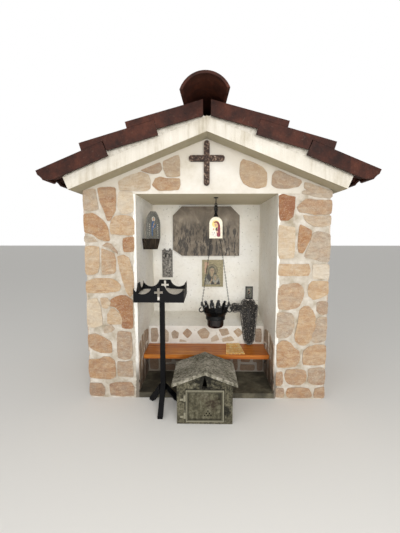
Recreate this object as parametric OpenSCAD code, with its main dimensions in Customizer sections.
// Wayside shrine: a small masonry niche under a tiled gable roof, with its
// shelf, icons, hanging oil lamp, candle stand and candle house.
// Millimetres. +Z is up, +X is to the right and +Y runs into the niche.
// The origin is the centre of the wall footprint, at ground level.

/* [Walls] */
// Width of the building across the front
wall_width = 1550; // [1450:10:1700]
// Depth of the building from front to rear
wall_depth = 850; // [780:10:980]
// Width of each front pier, which is the thickness of the side wall
pier_width = 325; // [280:5:360]
// Thickness of the rear wall
rear_wall_thickness = 220; // [160:10:260]
// Height of the niche from the ground to its ceiling
niche_height = 1345; // [1300:5:1500]

/* [Niche] */
// Thickness of the concrete floor between the piers
floor_thickness = 35; // [20:5:60]
// Depth of the masonry ledge in front of the rear wall
ledge_depth = 245; // [200:5:280]
// Height of the ledge at its front edge
ledge_height = 380; // [340:5:420]
// Rise of the sloping plaster on top of the ledge
ledge_cap_rise = 60; // [20:5:90]
// How far the ledge steps forward under the shelf to carry it
ledge_step = 55; // [40:5:80]
// Height of the top of the wooden shelf
shelf_top = 237; // [200:1:260]
// Thickness of the shelf plank
shelf_thickness = 30; // [24:1:40]
// Depth of the shelf plank from front to rear
shelf_depth = 230; // [200:5:260]

/* [Roof slab] */
// Slope of the roof in degrees
roof_pitch = 21.8; // [20:0.1:25]
// Rise from the niche ceiling to the underside of the slab over the outer face of a side wall
soffit_rise = 25; // [15:1:60]
// Thickness of the sloping concrete slab
slab_thickness = 80; // [60:5:100]
// Overhang of the slab beyond each side wall
slab_eave = 44; // [30:1:70]
// Overhang of the slab beyond the front and rear walls
slab_verge = 130; // [80:5:160]
// Thickness of the flat slab over the niche
ceiling_thickness = 90; // [70:5:100]
// Thickness of the gable walls on the flat slab
gable_thickness = 200; // [120:10:240]

/* [Tiles] */
// Length of a roof tile down the slope
tile_length = 420; // [410:5:430]
// Thickness of the fired clay
tile_thickness = 12; // [10:0.5:13]
// Outer radius of the roll that covers each joint
roll_radius = 60; // [56:1:64]
// Depth of the roll's centre below the underside of the pan
roll_drop = 26; // [24:1:30]
// Width that one tile covers, before the columns are evened out
tile_cover = 190; // [170:5:210]
// Overhang of the lowest tiles beyond the end of the slab, down the slope
tile_eave = 116; // [100:1:140]
// Distance from the front face of the slab to the outer face of the verge tiles
verge_overhang = 40; // [30:1:60]
// Depth of the flap that hangs down at the verge
flap_depth = 83; // [76:1:94]
// Thickness of that flap
flap_thickness = 14; // [10:1:16]
// How far the foot of the lowest flap is raked back
flap_rake = 80; // [40:5:110]
// How far the flaps of the two upper courses start before the head of their tile
flap_lead = 27; // [0:1:30]
// Width of a verge tile beside the columns
verge_cover = 120; // [110:1:130]
// Distance from the ridge to the head of the first course
ridge_gap = 34; // [28:1:50]
// Height of the battens that carry the heads of the tiles
batten_height = 45; // [38:1:52]
// Width of each batten
batten_width = 50; // [40:1:60]
// How far the battens stop short of the slab's faces
batten_inset = 12; // [5:1:20]
// Tilt of the top course from the slab, in degrees
top_tilt = 6.7; // [6.2:0.1:7.5]
// Tilt of the middle course
middle_tilt = 5.8; // [5.2:0.1:6.4]
// Tilt of the lowest course, which droops a little over the end of the slab
eave_tilt = -0.5; // [-1.5:0.1:0]

/* [Ridge] */
// Outer radius of a ridge tile at its wide end
ridge_radius = 138; // [132:1:144]
// How much smaller the radius of its narrow end is
ridge_taper = 19; // [18:0.5:24]
// Height of the springing of the ridge tile above its centre
ridge_cut = 50; // [42:1:56]
// How far the ridge tiles lie to the left of the ridge
ridge_shift = 12; // [0:1:20]
// Length that one ridge tile shows
ridge_cover = 335; // [320:5:350]
// Thickness of a ridge tile
ridge_thickness = 14; // [12:1:15]
// Overhang of the front ridge tile beyond the verge tiles
ridge_nose = 160; // [80:5:180]

/* [Gable cross] */
// Height of the cross
cross_height = 270; // [220:5:280]
// Width of the cross across its arms
cross_span = 222; // [180:2:240]
// Width of the bars
cross_bar = 36; // [28:1:44]
// Thickness of the cross
cross_thickness = 22; // [15:1:30]
// Height of the foot of the cross above the niche ceiling
cross_foot = 48; // [40:1:50]

/* [Wall pieces] */
// Width of the stone plaque on the rear wall
plaque_width = 555; // [480:5:600]
// Height of the plaque
plaque_height = 410; // [360:5:420]
// Thickness of the plaque
plaque_thickness = 30; // [20:1:40]
// Clipped corners of the plaque
plaque_corner = 75; // [50:5:90]
// Distance from the niche ceiling down to the plaque
plaque_drop = 16; // [10:1:30]
// Sideways place of the framed picture from the middle of the niche
picture_x = 55; // [30:1:80]
// Width of the framed picture
picture_width = 178; // [150:1:200]
// Height of the framed picture
picture_height = 229; // [200:1:235]
// Distance from the foot of the plaque down to the framed picture
picture_drop = 36; // [20:1:50]
// Width of its frame
picture_frame = 12; // [8:1:16]
// Depth of its frame
picture_depth = 16; // [10:1:20]
// Width of the narrow relief icon
relief_width = 86; // [70:1:100]
// Height of the narrow relief icon
relief_height = 244; // [200:1:260]
// Distance from the niche ceiling down to the relief icon
relief_drop = 366; // [350:1:390]
// Thickness of the relief icon
relief_depth = 18; // [12:1:22]
// Gap between the relief icon and the plaque, seen from the front
relief_gap = 8.5; // [5:0.5:14]
// Width of the pointed icon at the left side
side_icon_width = 134; // [120:1:145]
// Height of the pointed icon
side_icon_height = 190; // [170:1:200]
// Thickness of the pointed icon
side_icon_depth = 20; // [14:1:24]
// Distance from the niche ceiling down to the foot of the pointed icon
side_icon_drop = 281; // [260:1:300]
// Width of its frame
side_icon_frame = 11; // [8:1:14]
// Distance of its middle from the left side of the niche
side_icon_inset = 66; // [60:1:80]
// Distance of its middle behind the front of the walls
side_icon_back = 215; // [190:1:240]
// Angle by which it is turned from the front
side_icon_turn = 60; // [50:1:70]
// Height of its bracket
bracket_height = 76; // [60:1:90]
// Distance of the small picture from the right side of the niche
small_inset = 51; // [40:1:70]
// Width of the small picture
small_width = 62; // [55:1:70]
// Height of the small picture
small_height = 106; // [95:1:115]
// Height of the small picture above the shelf
small_rise = 312; // [300:1:330]
// Width of its frame
small_frame = 8; // [6:1:10]
// Depth of its frame
small_depth = 12; // [8:1:15]

/* [Standing cross] */
// Distance of the cross from the right side of the niche
standing_inset = 116; // [105:1:130]
// Width of the stem at its foot
stem_foot = 84; // [74:1:92]
// Width of the stem under the arms
stem_top = 146; // [130:1:150]
// Height of the arms above the foot
arm_level = 288; // [270:1:300]
// Height of the bar that joins the arms
arm_bar = 68; // [60:1:76]
// How far the long arm's boss is out from the middle of the stem
arm_reach = 109; // [98:1:116]
// Radius of the round bosses at the ends
boss_radius = 38; // [34:1:42]
// Thickness of the plate
standing_plate = 7; // [5:1:9]
// How far the cast border stands off the plate
standing_border = 6; // [4:1:8]
// Angle at which the cross leans back
cross_lean = 9; // [6:0.5:12]

/* [Candles] */
// Number of thin candles in the bundle
candle_count = 15; // [11:2:17]
// Radius of one candle
candle_radius = 3; // [2.5:0.1:3.2]
// Distance between the candles
candle_pitch = 7; // [6.6:0.1:8]
// Place of the bundle from the middle of the niche
candle_x = 210; // [190:1:220]
// Angle between one candle and the next
candle_fan = 0.6; // [0.4:0.1:0.8]

/* [Hanging lamp] */
// Sideways place of the lamp from the middle of the niche
lamp_x = 65; // [40:1:90]
// Distance of the lamp behind the front face of the walls
lamp_inset = 172; // [165:1:190]
// Distance from the niche ceiling down to the underside of the cup
lamp_drop = 909; // [860:1:930]
// Radius of the cup
cup_radius = 59; // [50:1:65]
// Height of the cup
cup_height = 74; // [60:1:80]
// Radius of the crown at its rim
crown_radius = 94; // [90:1:98]
// Number of petals round the crown
petals = 12; // [8:1:14]
// Height of the crown from its foot to the tips of its leaves
crown_height = 108; // [100:1:120]
// Distance of each chain from the lamp's axis at the crown
chain_spread = 100; // [98:1:104]
// Distance from the niche ceiling down to where the chains part
chain_drop = 133; // [128:1:150]
// Radius of each chain
chain_radius = 2; // [1.5:0.1:3]
// Radius of the cap from which the chains hang
cap_radius = 17; // [14:1:20]
// Width of one leaf of the crown
leaf_width = 38; // [32:1:42]
// Width of the icon that hangs under the cap
hanging_width = 90; // [80:1:100]
// Height of the hanging icon
hanging_height = 146; // [130:1:160]
// Thickness of the hanging icon
hanging_depth = 8; // [6:1:10]

/* [Candle stand] */
// Width and depth of the square tray
tray_width = 290; // [260:5:310]
// Height of the top of the tray's corners above the ground
stand_height = 793; // [760:1:850]
// Depth of the tray at its corners
tray_depth = 93; // [80:1:100]
// Thickness of the sheet steel of the tray
sheet = 3; // [2:0.5:4]
// Width of the square post
post_width = 30; // [24:1:36]
// Height at which the legs leave the post
leg_height = 141; // [120:1:170]
// Distance of the front foot from the post's axis
leg_reach = 150; // [130:1:155]
// Distance of each rear foot from the post's axis
rear_reach = 120; // [105:1:122]
// Gap between the tray and the left side of the niche
stand_clearance = 30; // [15:1:60]
// Distance of the post in front of the walls
stand_front = 92; // [85:1:120]
// Width of the raised corners of the tray's sides
tray_corner = 40; // [34:1:46]
// Height of the cross cut out of the tray's side
cut_height = 74; // [60:1:80]
// Width of the bars of that cross
cut_bar = 13; // [10:1:16]
// Angle from the front leg to each rear leg
leg_spread = 130; // [128:1:134]

/* [Candle house] */
// Width of the body
house_width = 320; // [290:5:340]
// Depth of the body
house_depth = 240; // [200:5:260]
// Height of the body at its sides
house_side = 246; // [235:1:260]
// Thickness of its walls
house_wall = 30; // [24:1:36]
// Width of the roof across the eaves
house_roof_width = 371; // [350:1:400]
// Depth of the roof
house_roof_depth = 300; // [280:5:320]
// Slope of the roof in degrees
house_pitch = 21; // [18:0.5:24]
// Thickness of the roof slabs
house_roof_thickness = 18; // [14:1:24]
// Distance of the front of the body from the front of the walls
house_front = 283; // [270:1:320]
// Width of the door opening
door_opening = 208; // [180:2:216]
// Height of the door opening
door_height = 178; // [150:2:180]
// Thickness of the door sheet
door_sheet = 3; // [2:0.5:4]
// Width of the raised rim round the door
door_rim = 13; // [8:1:16]
// Width of the triangular vent at its foot
vent_width = 36; // [28:1:44]
// Distance of the vent above the door opening
vent_gap = 12; // [8:1:16]
// Radius of each small hole in the door
hole_radius = 4; // [3:0.5:5]
// Sideways distance between the small holes
hole_pitch = 18; // [14:1:20]
// Radius of the door's knob
knob_radius = 6; // [5:0.5:8]
// Length of the knob
knob_length = 22; // [16:1:26]

/* [Hidden] */
$fn = 48;
touch = 0.3;          // gap left between two seated pieces
big = 3 * wall_width; // longer than anything here, for cutting

// Derived places of the walls
front_y = -wall_depth / 2;
rear_y = wall_depth / 2;
niche_half = wall_width / 2 - pier_width;
niche_rear_y = rear_y - rear_wall_thickness;
ledge_y = niche_rear_y - ledge_depth;

// Derived places of the roof slab
soffit_apex = niche_height + soffit_rise + wall_width / 2 * tan(roof_pitch);
slab_half = wall_width / 2 + slab_eave;
slab_apex = soffit_apex + slab_thickness / cos(roof_pitch);
slab_slope = (slab_half + slab_thickness * sin(roof_pitch)) / cos(roof_pitch);
slab_length = wall_depth + 2 * slab_verge;
function soffit_z(x) = soffit_apex - abs(x) * tan(roof_pitch);
// The walls carry the slab over a thin joint
bearing_apex = soffit_apex - touch;
bearing_z = soffit_z(wall_width / 2) - touch;

// Derived sizes of the tiles
tiled_length = slab_length + 2 * verge_overhang;
columns = round((tiled_length - 2 * verge_cover) / tile_cover);
column_pitch = (tiled_length - 2 * verge_cover) / columns;
tile_gauge = (slab_slope + tile_eave - tile_length - ridge_gap) / 2;
roll_crown = roll_radius - roll_drop;
roll_inner = roll_radius - tile_thickness;
// A tile nests on the one below once it is raised by this much
nest = sqrt(pow(roll_radius, 2) - pow(roll_inner, 2) + pow(roll_drop, 2)) - roll_drop;
lip_length = tile_length / 30;
eave_lip = 16;
flap_joint = 3;
ridge_lap = 85;
tilts = [top_tilt, middle_tilt, eave_tilt];
function head(course) = ridge_gap + course * tile_gauge;
// Height of a course's underside above the slab, at a distance down the slope
function under(course, u) = batten_height + (u - head(course)) * tan(tilts[course]);
// Depth of the lip that closes the nose of a course on the one below
function lip_depth(course) = course == 2 ? eave_lip
    : let (nose = head(course) + tile_length * cos(tilts[course]))
      under(course, nose - lip_length) - under(course + 1, nose - lip_length)
      - nest / cos(tilts[course] - tilts[course + 1]) - 2 * touch;

// Underside of the end of a flap where it passes over the next one, in the tile's own height
function over_flap(course, u) =
    under(course + 1, u) + roll_crown + flap_joint / 2 - under(course, u);
function flap_start(course) = course == 2 ? 0 : -flap_lead;

// Height of the crowns of the top course, a distance out from the ridge
crown_slope = roof_pitch - top_tilt;
crown_at_head = slab_apex - ridge_gap * sin(roof_pitch) + batten_height * cos(roof_pitch)
    + roll_crown * cos(crown_slope);
crown_head_x = ridge_gap * cos(roof_pitch) + batten_height * sin(roof_pitch)
    + roll_crown * sin(crown_slope);
function crown_z(x) = crown_at_head - (x - crown_head_x) * tan(crown_slope);
// Half-width of a ridge tile's foot, inside, at its narrow end
ridge_tail_radius = ridge_radius - ridge_taper;
ridge_foot = sqrt(pow(ridge_tail_radius - ridge_thickness, 2) - pow(ridge_cut, 2));
ridge_seat = crown_z(ridge_foot) + touch;
// Turn that brings both feet of a ridge tile onto the crowns beside the ridge
ridge_turn = asin(ridge_shift * tan(crown_slope) / ridge_foot);
ridge_front_y = -tiled_length / 2 - ridge_nose;
ridge_length = ridge_cover + ridge_lap;
ridge_count = ceil((tiled_length + ridge_nose + ridge_cover - ridge_length) / ridge_cover);

// Derived places of the wall pieces
side_icon_foot = niche_height - side_icon_drop;
short_arm = 38;
lobe_rise = 34;

// Derived places of the lamp; it swings about the straight foot of the stirrup
lamp_y = front_y + lamp_inset;
lamp_bottom = niche_height - lamp_drop;
chain_part = niche_height - chain_drop;
rose_radius = 16;
eye_radius = 11;
eye_wire = 3;
eye_shank = 14;
rose_height = 6;
swing_z = niche_height - touch - rose_height - eye_shank - 2 * eye_radius;
link_wire = 2.5;
link_radius = 12;
link_drop = link_radius - link_wire - eye_wire - touch;
link_z = swing_z - link_drop;
link_pitch = 2 * (link_radius - link_wire) - touch;
link_count = 3;
cap_top = link_z - (link_count - 1) * link_pitch - link_radius;
cup_lip = 4;
crown_ledge = 8;
crown_foot = lamp_bottom + cup_height - cup_lip - crown_ledge - touch;
arm_radius = 15;
arm_wire = 4;
arm_height = 62;
chain_foot = crown_foot + arm_height + arm_radius + arm_wire + 2 * touch;
crown_wall = 3;
crown_flange = 10;
crown_rim = cup_radius + crown_flange;
leaf_lean = 18;
cup_wall = 3;
cup_round = 22;

// Derived places of the candle stand
stand_x = -niche_half + stand_clearance + tray_width / 2;
stand_y = front_y - stand_front;
tray_bottom = stand_height - tray_depth;
leg_root = post_width * 1.4;

// Derived places of the candle house
house_x = -10;
house_y = front_y - house_front;
house_rear_y = house_y + house_depth;
house_roof_shift = 4;
house_roof_y = (house_y + house_rear_y) / 2 - house_roof_depth / 2 - house_roof_shift;
house_apex = house_side + house_width / 2 * tan(house_pitch);
house_floor = 22;
door_overlap = 5;
door_gap = 1;
pin_radius = 3;
pin_clearance = 0.3;
knuckle_radius = 6.5;
knuckle_height = 12;
hinge_leaf = 26;
rim_depth = 5;
sleeve_height = 24;
hinge_x = house_x - door_opening / 2 - door_overlap - knuckle_radius;
hinge_y = house_y - knuckle_radius - door_gap;
hinge_levels = [0.16, 0.74];
function sleeve_z(i) = house_floor + door_height * hinge_levels[i];

// Stretches a profile, drawn across the building, along its depth
module along_y(y0, y1)
    translate([0, y1, 0]) rotate([90, 0, 0]) linear_extrude(y1 - y0) children();

// Stretches a profile, drawn in depth and height, across the building
module along_x(x0, x1)
    translate([x0, 0, 0]) rotate([90, 0, 90]) linear_extrude(x1 - x0) children();

// Walls, floor and ceiling
module side_wall(side)
    color("wheat")
        translate([side > 0 ? niche_half : -wall_width / 2, front_y, 0])
            cube([pier_width, wall_depth, niche_height]);

module rear_wall()
    color("wheat")
        translate([-niche_half, niche_rear_y, 0])
            cube([2 * niche_half, rear_wall_thickness, niche_height]);

// The lower masonry stands forward of the rear wall, and steps out under the shelf
module rear_ledge()
    color("tan")
        along_x(-niche_half, niche_half)
            polygon([
                [ledge_y - ledge_step, 0],
                [ledge_y - ledge_step, shelf_top - shelf_thickness],
                [ledge_y, shelf_top - shelf_thickness],
                [ledge_y, ledge_height],
                [niche_rear_y, ledge_height + ledge_cap_rise],
                [niche_rear_y, 0]
            ]);

module niche_floor()
    color("darkkhaki")
        translate([-niche_half, front_y, 0])
            cube([2 * niche_half, ledge_y - ledge_step - front_y, floor_thickness]);

module ceiling_slab() {
    top = niche_height + ceiling_thickness;
    shoulder = (bearing_apex - top) / tan(roof_pitch);
    color("ivory")
        along_y(front_y, rear_y)
            polygon([
                [-wall_width / 2, niche_height],
                [wall_width / 2, niche_height],
                [wall_width / 2, bearing_z],
                [shoulder, top],
                [-shoulder, top],
                [-wall_width / 2, bearing_z]
            ]);
}

module gable(y0) {
    foot = niche_height + ceiling_thickness;
    half = (bearing_apex - foot) / tan(roof_pitch);
    color("ivory")
        along_y(y0, y0 + gable_thickness)
            polygon([[-half, foot], [half, foot], [0, bearing_apex]]);
}

// The roof slab is cast in one piece, with its ends square to the slope
module roof_slab() {
    end = [slab_half, soffit_z(slab_half)];
    lip = end + slab_thickness * [sin(roof_pitch), cos(roof_pitch)];
    color("ivory")
        along_y(-slab_length / 2, slab_length / 2)
            polygon([
                [0, soffit_apex], end, lip, [0, slab_apex],
                [-lip[0], lip[1]], [-end[0], end[1]]
            ]);
}

// Places children on the top of the slab: x runs down the slope and z stands off it
module on_slope(side)
    mirror([side > 0 ? 0 : 1, 0, 0])
        translate([0, 0, slab_apex])
            rotate([0, roof_pitch, 0])
                children();

// Places children in the frame of one course of tiles
module in_course(course)
    translate([head(course), 0, batten_height])
        rotate([0, -tilts[course], 0])
            children();

module batten(course, u0, u1)
    translate([0, slab_length / 2 - batten_inset, 0])
        rotate([90, 0, 0])
            linear_extrude(slab_length - 2 * batten_inset)
                polygon([[u0, 0], [u1, 0], [u1, under(course, u1) - touch],
                         [u0, under(course, u0) - touch]]);

// One batten under the head of each course, and one at the end of the slab
module battens(side)
    color("saddlebrown")
        on_slope(side) {
            for (course = [0:2])
                batten(course, head(course) + batten_inset,
                    head(course) + batten_inset + batten_width);
            batten(2, slab_slope - batten_inset - batten_width, slab_slope - batten_inset);
        }

// Cross-section of a row of tiles: flat pans with a roll over every joint
module tile_section(extra = 0) {
    length = columns * column_pitch;
    difference() {
        union() {
            translate([-length / 2, -extra]) square([length, tile_thickness + extra]);
            intersection() {
                for (i = [0:columns - 1])
                    translate([(i + 0.5) * column_pitch - length / 2, -roll_drop])
                        circle(roll_radius);
                translate([-length / 2, -extra]) square([length, 2 * roll_radius]);
            }
        }
        for (i = [0:columns - 1])
            translate([(i + 0.5) * column_pitch - length / 2, -roll_drop - extra])
                circle(roll_inner);
    }
}

// Cross-section of a verge tile, from its outer face inwards
module verge_section(extra = 0)
    difference() {
        union() {
            translate([0, -extra]) square([verge_cover, tile_thickness + extra]);
            intersection() {
                translate([0, -roll_drop]) circle(roll_radius);
                translate([0, -extra]) square(2 * roll_radius);
            }
        }
        translate([0, -roll_drop - extra]) circle(roll_inner);
    }

module down_tile(length) rotate([90, 0, 90]) linear_extrude(length) children();

module tile_course(side, course)
    color([0.42, 0.22, 0.17])
        on_slope(side) in_course(course) {
            down_tile(tile_length) tile_section();
            translate([tile_length - lip_length, 0, 0])
                down_tile(lip_length) tile_section(lip_depth(course));
        }

// Side outline of a flap. The top one starts plumb at the ridge, each of the upper two ends in
// a strip over the next flap, and the foot of the lowest is raked back in a curve
module flap_outline(course) {
    drop = flap_depth - roll_crown;
    start = flap_start(course);
    plumb = course == 0 ? tan(crown_slope) : 0;
    end = tile_gauge + flap_start(course + 1) - flap_joint;
    // The joint between two flaps is square to the lower one
    lean = course == 2 ? 0 : tan(tilts[course] - tilts[course + 1]);
    polygon(concat(
        [[start + drop * plumb, -drop], [start - roll_crown * plumb, roll_crown]],
        course == 2
            ? [for (a = [0:15:90])
                  [tile_length - flap_rake * (1 - cos(a)), roll_crown - flap_depth * sin(a)]]
            : [[tile_length, roll_crown],
               [tile_length, over_flap(course, head(course) + tile_length)],
               [end, over_flap(course, head(course) + end)],
               [end - drop * lean, -drop]]
    ));
}

module verge_tile(course)
    in_course(course)
        translate([0, -tiled_length / 2, 0]) {
            down_tile(tile_length) verge_section();
            translate([tile_length - lip_length, 0, 0])
                down_tile(lip_length) verge_section(lip_depth(course));
            translate([0, flap_thickness, 0]) rotate([90, 0, 0])
                linear_extrude(flap_thickness) flap_outline(course);
        }

// Three verge tiles on one slope, at the front (end -1) or at the rear (end 1)
module verge(side, end)
    color([0.36, 0.18, 0.14])
        mirror([0, end > 0 ? 1 : 0, 0])
            on_slope(side)
                for (course = [0:2]) verge_tile(course);

// A tapering half-round tile, whose wide end laps over the one behind it
module ridge_tile()
    intersection() {
        rotate([-90, 0, 0]) difference() {
            cylinder(h = ridge_length, r1 = ridge_radius, r2 = ridge_tail_radius);
            translate([0, 0, -1])
                cylinder(h = ridge_length + 2,
                    r1 = ridge_radius - ridge_thickness,
                    r2 = ridge_tail_radius - ridge_thickness);
        }
        translate([-ridge_radius, -1, ridge_cut])
            cube([2 * ridge_radius, ridge_length + 2, ridge_radius]);
    }

module ridge_tiles()
    color([0.25, 0.12, 0.10])
        for (i = [0:ridge_count - 1])
            translate([-ridge_shift, ridge_front_y + i * ridge_cover, ridge_seat])
                rotate([0, -ridge_turn, 0])
                    translate([0, 0, -ridge_cut]) ridge_tile();

// The cross on the front gable, with rounded ends
module gable_cross()
    color("dimgray")
        translate([0, front_y, niche_height + cross_foot + cross_height / 2])
            rotate([90, 0, 0])
                linear_extrude(cross_thickness) {
                    square([cross_bar, cross_height - cross_bar], center = true);
                    for (s = [-1, 1])
                        translate([0, s * (cross_height - cross_bar) / 2])
                            circle(cross_bar / 2);
                    translate([0, cross_height * 0.11]) {
                        square([cross_span - cross_bar, cross_bar], center = true);
                        for (s = [-1, 1])
                            translate([s * (cross_span - cross_bar) / 2, 0])
                                circle(cross_bar / 2);
                    }
                }

module shelf_plank()
    color("peru")
        translate([-niche_half, ledge_y - shelf_depth, shelf_top - shelf_thickness])
            cube([2 * niche_half, shelf_depth, shelf_thickness]);

// Stone plaque with its top corners and one lower corner clipped
module plaque()
    color("gray")
        translate([0, niche_rear_y, niche_height - plaque_drop - plaque_height])
            rotate([90, 0, 0])
                linear_extrude(plaque_thickness)
                    polygon([
                        [-plaque_width / 2 + plaque_corner, 0],
                        [plaque_width / 2, 0],
                        [plaque_width / 2, plaque_height - plaque_corner],
                        [plaque_width / 2 - plaque_corner, plaque_height],
                        [-plaque_width / 2 + plaque_corner, plaque_height],
                        [-plaque_width / 2, plaque_height - plaque_corner],
                        [-plaque_width / 2, plaque_corner * 0.7]
                    ]);

// A framed panel that stands off the rear wall: width, height, frame and depth
module framed(size, frame, depth) {
    linear_extrude(depth)
        difference() {
            square(size);
            translate([frame, frame]) square(size - 2 * [frame, frame]);
        }
    linear_extrude(depth * 0.6)
        translate([frame, frame]) square(size - 2 * [frame, frame]);
}

module wall_picture()
    color("darkkhaki")
        translate([picture_x - picture_width / 2, niche_rear_y,
                   niche_height - plaque_drop - plaque_height - picture_drop - picture_height])
            rotate([90, 0, 0])
                framed([picture_width, picture_height], picture_frame, picture_depth);

// Narrow relief with a notched top
module relief_icon()
    color("darkgray")
        translate([-plaque_width / 2 - relief_gap - relief_width, niche_rear_y,
                   niche_height - relief_drop - relief_height])
            rotate([90, 0, 0])
                linear_extrude(relief_depth)
                    difference() {
                        square([relief_width, relief_height]);
                        translate([relief_width / 2, relief_height])
                            circle(relief_width * 0.2);
                        for (x = [0, relief_width])
                            translate([x, relief_height]) circle(relief_width * 0.16);
                    }

// Pointed-arch outline, used for the icons
module arch_outline(width, height, spring)
    intersection() {
        translate([-width / 2, 0]) square([width, height]);
        union() {
            translate([-width / 2, 0]) square([width, spring]);
            intersection_for (s = [-1, 1])
                translate([s * width * 0.35, spring]) circle(width * 0.85);
        }
    }

// Places children on the left side of the niche, turned to look outwards
module beside_left(z)
    translate([-niche_half + side_icon_inset, front_y + side_icon_back, z])
        rotate([0, 0, side_icon_turn]) children();

module side_icon() {
    frame = side_icon_frame;
    color("slategray")
        beside_left(side_icon_foot)
            rotate([90, 0, 0])
                difference() {
                    linear_extrude(side_icon_depth)
                        arch_outline(side_icon_width, side_icon_height, side_icon_height / 2);
                    translate([0, frame, side_icon_depth * 0.6])
                        linear_extrude(side_icon_depth)
                            arch_outline(side_icon_width - 2 * frame,
                                side_icon_height - 2 * frame, side_icon_height / 2 - frame);
                }
}

// The bracket is a tapering shelf whose rear is cut to the wall
module side_icon_bracket() {
    foot = side_icon_width / 4;
    half = side_icon_width * 0.46;
    edge = bracket_height / 8;
    top = bracket_height - touch;
    color("dimgray")
        difference() {
            beside_left(side_icon_foot - bracket_height)
                rotate([90, 0, 0]) translate([0, 0, -side_icon_inset - touch])
                    linear_extrude(side_icon_inset + side_icon_depth)
                        polygon([[-foot, 0], [foot, 0], [half, top - edge], [half, top],
                                 [-half, top], [-half, top - edge]]);
            translate([-niche_half - big + touch, -big / 2, 0]) cube(big);
        }
}

module small_picture()
    color("black")
        translate([niche_half - small_inset - small_width, niche_rear_y - touch,
                   shelf_top + small_rise])
            rotate([90, 0, 0])
                framed([small_width, small_height], small_frame, small_depth);

// Outline of the ornamental cross: a long tapering stem, a long rounded arm on the left and
// a short one on the right, and two lobes close above them
module cross_outline(grow = 0) {
    foot = stem_foot / 2 + grow;
    waist = stem_top / 2 + grow;
    polygon([[-foot, boss_radius], [foot, boss_radius], [waist, arm_level], [-waist, arm_level]]);
    translate([-arm_reach, arm_level - arm_bar / 2 - grow])
        square([arm_reach + short_arm, arm_bar + 2 * grow]);
    for (boss = [
        [0, boss_radius],
        [-arm_reach, arm_level],
        [short_arm, arm_level],
        [-boss_radius * 0.6, arm_level + lobe_rise],
        [boss_radius * 0.4, arm_level + lobe_rise]
    ])
        translate(boss) circle(boss_radius + grow);
}

// It leans back on the front edge of the ledge
module standing_cross()
    color("darkslategray")
        translate([niche_half - standing_inset,
                   ledge_y - (ledge_height - shelf_top) * tan(cross_lean) - 2 * touch,
                   shelf_top + touch])
            rotate([90 - cross_lean, 0, 0]) {
                linear_extrude(standing_plate) cross_outline();
                linear_extrude(standing_plate + standing_border) difference() {
                    cross_outline(-boss_radius * 0.05);
                    cross_outline(-boss_radius * 0.3);
                }
            }

// Thin wax candles lying in a fan on the shelf
module candle_bundle() {
    half = (candle_count - 1) / 2;
    color("khaki")
        for (i = [-half:half])
            translate([candle_x + i * candle_pitch, ledge_y - 2 * candle_radius,
                       shelf_top + candle_radius + touch])
                rotate([90, 0, i * candle_fan])
                    cylinder(h = shelf_depth * (0.92 - 0.02 * abs(i % 3)), r = candle_radius);
}

// Torus whose wire has the given radius
module ring(radius, wire, angle = 360)
    rotate_extrude(angle = angle) translate([radius, 0]) circle(wire, $fn = 20);

// Stirrup under the ceiling. The lamp's top link swings sideways on its straight foot
module lamp_hook()
    color("black")
        translate([lamp_x, lamp_y, swing_z]) {
            translate([0, 0, 2 * eye_radius]) cylinder(h = eye_shank + 1, r = eye_wire);
            translate([0, 0, 2 * eye_radius + eye_shank])
                cylinder(h = rose_height, r = rose_radius);
            translate([0, 0, eye_radius]) rotate([90, 0, 90]) ring(eye_radius, eye_wire, 180);
            for (s = [-1, 1])
                translate([0, s * eye_radius, 0]) {
                    cylinder(h = eye_radius, r = eye_wire);
                    sphere(eye_wire);
                }
            translate([0, eye_radius, 0]) rotate([90, 0, 0])
                cylinder(h = 2 * eye_radius, r = eye_wire);
        }

// Links from the eye down to the cap, whose own eye is the last of them, and the two chains
module lamp_chains()
    color("black") {
        for (i = [0:link_count - 1])
            translate([lamp_x, lamp_y, link_z - i * link_pitch])
                rotate([90, 0, i % 2 * 90]) ring(link_radius, link_wire);
        translate([lamp_x, lamp_y, 0]) {
            translate([0, 0, chain_part])
                cylinder(h = cap_top - chain_part, r1 = cap_radius, r2 = cap_radius / 2);
            for (s = [-1, 1])
                chain(s);
        }
    }

module chain(s) {
    foot = [s * chain_spread, 0, chain_foot];
    top = [s * cap_radius * 0.6, 0, chain_part];
    run = top - foot;
    translate(foot)
        rotate([0, atan2(run[0], run[2]), 0])
            cylinder(h = norm(run) + 2 * chain_radius, r = chain_radius);
}

// One leaf of the crown, seen from the front
module leaf_outline(w, h)
    intersection() {
        translate([-w / 2, 0]) square([w, h]);
        intersection_for (s = [-1, 1])
            translate([s * (h * 0.9 - w / 2), h * 0.42]) circle(h * 0.9);
    }

// Openwork crown: a flaring band, leaves round it and two curled arms
module lamp_crown() {
    band = crown_height / 4;
    flare = crown_height / 2;
    bore = cup_radius + crown_wall;
    color("black")
        translate([lamp_x, lamp_y, crown_foot]) {
            rotate_extrude()
                polygon([[bore, 0], [crown_rim, 0], [crown_rim, band],
                         [crown_radius - 2 * crown_wall, flare],
                         [crown_radius - 3 * crown_wall, flare],
                         [crown_rim - crown_wall, band],
                         [crown_rim - crown_wall, crown_ledge],
                         [bore, crown_ledge]]);
            for (i = [0:petals - 1])
                rotate([0, 0, (i + 0.5) * 360 / petals])
                    translate([crown_rim + 1.3 * crown_wall, 0, crown_height * 0.33])
                        rotate([90, 0, 90]) rotate([leaf_lean, 0, 0])
                            linear_extrude(crown_wall)
                                leaf_outline(leaf_width, crown_height * 0.72);
            for (s = [0, 180])
                rotate([0, 0, s])
                    translate([chain_spread, 0, arm_height])
                        rotate([90, 0, 0]) rotate([0, 0, 180])
                            ring(arm_radius, arm_wire, 270);
        }
}

// Point on the rounded foot of the cup, drawn at a smaller radius for its inside
function cup_point(radius, a) =
    [cup_radius - cup_round + radius * cos(a), cup_round + radius * sin(a)];

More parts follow.
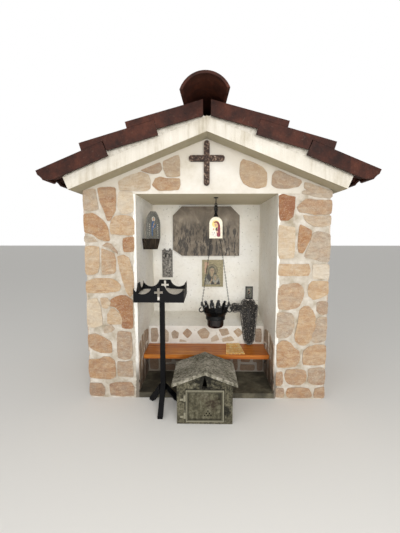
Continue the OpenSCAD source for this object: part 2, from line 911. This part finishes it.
module lamp_cup() {
    lip = cup_radius + crown_wall * 1.9;
    color("maroon")
        translate([lamp_x, lamp_y, lamp_bottom])
            rotate_extrude()
                polygon(concat(
                    [[0, 0]],
                    [for (a = [-90:15:0]) cup_point(cup_round, a)],
                    [[cup_radius, cup_height - cup_lip], [lip, cup_height - cup_lip],
                     [lip, cup_height], [cup_radius - cup_wall, cup_height]],
                    [for (a = [0:-15:-90]) cup_point(cup_round - cup_wall, a)],
                    [[0, cup_wall]]
                ));
}

// Panel with a round top, drawn round the middle of its arch
module round_top(half, drop) {
    translate([-half, -drop]) square([2 * half, drop]);
    circle(half);
}

module hanging_icon() {
    half = hanging_width / 2;
    frame = half / 7;
    color("firebrick")
        translate([lamp_x, lamp_y - frame, chain_part - half - touch])
            rotate([90, 0, 0])
                difference() {
                    linear_extrude(hanging_depth)
                        round_top(half, hanging_height - half);
                    translate([0, 0, hanging_depth * 0.6]) linear_extrude(hanging_depth)
                        round_top(half - frame, hanging_height - half - frame);
                }
}

// Side of the tray: raised corners and middle with a scallop between them
module tray_outline(width) {
    dip = width / 2 - tray_corner;
    difference() {
        translate([-width / 2, 0]) square([width, tray_depth]);
        for (s = [-1, 1])
            translate([s * (tray_corner + dip / 2), tray_depth + dip * 0.1])
                circle(dip * 0.53);
    }
}

module latin_cross(height, bar)
    translate([-bar / 2, 0]) {
        square([bar, height]);
        translate([bar / 2 - height * 0.33, height * 0.52]) square([height * 0.66, bar]);
    }

module tray_side(width, cross)
    rotate([90, 0, 0])
        linear_extrude(sheet)
            difference() {
                tray_outline(width);
                if (cross) translate([0, cut_bar]) latin_cross(cut_height, cut_bar);
            }

module stand_tray()
    color("black")
        translate([stand_x, stand_y, tray_bottom]) {
            translate([-tray_width / 2, -tray_width / 2, 0])
                cube([tray_width, tray_width, sheet]);
            for (s = [0, 180])
                rotate([0, 0, s]) translate([0, -tray_width / 2 + sheet, 0])
                    tray_side(tray_width, true);
            for (s = [90, 270])
                rotate([0, 0, s]) translate([0, -tray_width / 2 + sheet, 0])
                    tray_side(tray_width, false);
        }

module stand_post()
    color("black")
        translate([stand_x - post_width / 2, stand_y - post_width / 2, leg_height - leg_root])
            cube([post_width, post_width, tray_bottom - leg_height + leg_root - touch]);

// One straight leg, whose root stands clear of the corner of the post
module stand_leg(angle, reach) {
    root = post_width / 2 * (abs(cos(angle)) + abs(sin(angle))) + touch;
    rotate([0, 0, angle])
        rotate([90, 0, 0]) translate([0, 0, -post_width / 2])
            linear_extrude(post_width)
                polygon([
                    [root, leg_height],
                    [reach, post_width / 2],
                    [reach, 0],
                    [reach - post_width, 0],
                    [root, leg_height - leg_root]
                ]);
}

// One leg to the front and two shorter ones to the rear
module stand_legs()
    color("black")
        translate([stand_x, stand_y, 0]) {
            stand_leg(-90, leg_reach);
            for (side = [-1, 1])
                stand_leg(-90 + side * leg_spread, rear_reach);
        }

// The candle house: a small gabled box with a vent over the door
module house_profile(half, foot, side, apex)
    polygon([[-half, foot], [half, foot], [half, side], [0, apex], [-half, side]]);

module house_body()
    color("gray")
        translate([house_x, 0, 0])
            difference() {
                along_y(house_y, house_rear_y)
                    house_profile(house_width / 2, 0, house_side, house_apex);
                along_y(house_y + house_wall, house_rear_y - house_wall)
                    house_profile(house_width / 2 - house_wall, house_floor,
                        house_side - house_wall * 0.6, house_apex - house_wall);
                translate([-door_opening / 2, house_y - 1, house_floor])
                    cube([door_opening, house_wall + 2, door_height]);
                along_y(house_y - 1, house_y + house_wall + 1)
                    polygon([[-vent_width / 2, house_floor + door_height + vent_gap],
                             [vent_width / 2, house_floor + door_height + vent_gap],
                             [0, house_apex - vent_gap * 1.5]]);
            }

module house_roof() {
    half = house_roof_width / 2;
    drop = half * tan(house_pitch);
    thick = house_roof_thickness / cos(house_pitch);
    color("gray")
        translate([house_x, 0, touch])
            along_y(house_roof_y, house_roof_y + house_roof_depth)
                polygon([
                    [0, house_apex], [half, house_apex - drop],
                    [half, house_apex - drop + thick], [0, house_apex + thick],
                    [-half, house_apex - drop + thick], [-half, house_apex - drop]
                ]);
}

// Two pintles on the left of the door: a leaf, a knuckle and an upright pin
module house_hinges()
    color("dimgray")
        for (i = [0, 1])
            translate([hinge_x, hinge_y, sleeve_z(i) - touch]) {
                translate([0, 0, -knuckle_height])
                    cylinder(h = knuckle_height, r = knuckle_radius);
                translate([0, 0, -1]) cylinder(h = sleeve_height - 2, r = pin_radius);
                translate([-hinge_leaf, knuckle_radius - door_sheet, -knuckle_height])
                    cube([hinge_leaf, door_sheet + door_gap - touch, knuckle_height]);
            }

// Six small holes in a pyramid, low on the right of the door
module vent_holes()
    for (row = [0:2])
        for (i = [0:row])
            translate([(1 + i - row / 2) * hole_pitch, (4.6 - row) * hole_pitch * 0.77])
                circle(hole_radius);

module house_door() {
    width = door_opening + 2 * door_overlap;
    height = door_height + 2 * door_overlap;
    color("gray")
        difference() {
            union() {
                translate([house_x, house_y - door_gap, house_floor - door_overlap])
                    rotate([90, 0, 0]) {
                        linear_extrude(door_sheet)
                            translate([-width / 2, 0]) square([width, height]);
                        linear_extrude(door_sheet + rim_depth)
                            difference() {
                                translate([-width / 2 + 1, 0]) square([width - 1, height]);
                                translate([-width / 2 + 1 + door_rim, door_rim])
                                    square([width - 1 - 2 * door_rim, height - 2 * door_rim]);
                            }
                        translate([width / 2 - door_rim * 2.2, height * 0.72, 0])
                            cylinder(h = knob_length, r = knob_radius);
                    }
                for (i = [0, 1])
                    translate([hinge_x, hinge_y, sleeve_z(i)]) {
                        cylinder(h = sleeve_height, r = knuckle_radius);
                        translate([0, knuckle_radius - door_sheet, 0])
                            cube([knuckle_radius + 4, door_sheet, sleeve_height]);
                    }
            }
            for (i = [0, 1])
                translate([hinge_x, hinge_y, sleeve_z(i) - 1])
                    cylinder(h = sleeve_height + 2, r = pin_radius + pin_clearance);
            translate([house_x, house_y, house_floor - door_overlap])
                rotate([90, 0, 0])
                    linear_extrude(2 * door_sheet + rim_depth) vent_holes();
        }
}

side_wall(-1);  // left_wall
side_wall(1);  // right_wall
rear_wall();
rear_ledge();
niche_floor();
ceiling_slab();
gable(front_y);  // front_gable
gable(rear_y - gable_thickness);  // rear_gable
roof_slab();
battens(-1);  // battens_left
battens(1);  // battens_right
tile_course(-1, 2);  // tiles_left_eave
tile_course(-1, 1);  // tiles_left_middle
tile_course(-1, 0);  // tiles_left_top
tile_course(1, 2);  // tiles_right_eave
tile_course(1, 1);  // tiles_right_middle
tile_course(1, 0);  // tiles_right_top
verge(-1, -1);  // verge_front_left
verge(1, -1);  // verge_front_right
verge(-1, 1);  // verge_rear_left
verge(1, 1);  // verge_rear_right
ridge_tiles();
gable_cross();
shelf_plank();
plaque();
relief_icon();
side_icon();
side_icon_bracket();
wall_picture();
small_picture();
standing_cross();
candle_bundle();
lamp_hook();
lamp_chains();
lamp_crown();
lamp_cup();
hanging_icon();
stand_tray();
stand_post();
stand_legs();
house_body();
house_roof();
house_hinges();
house_door();
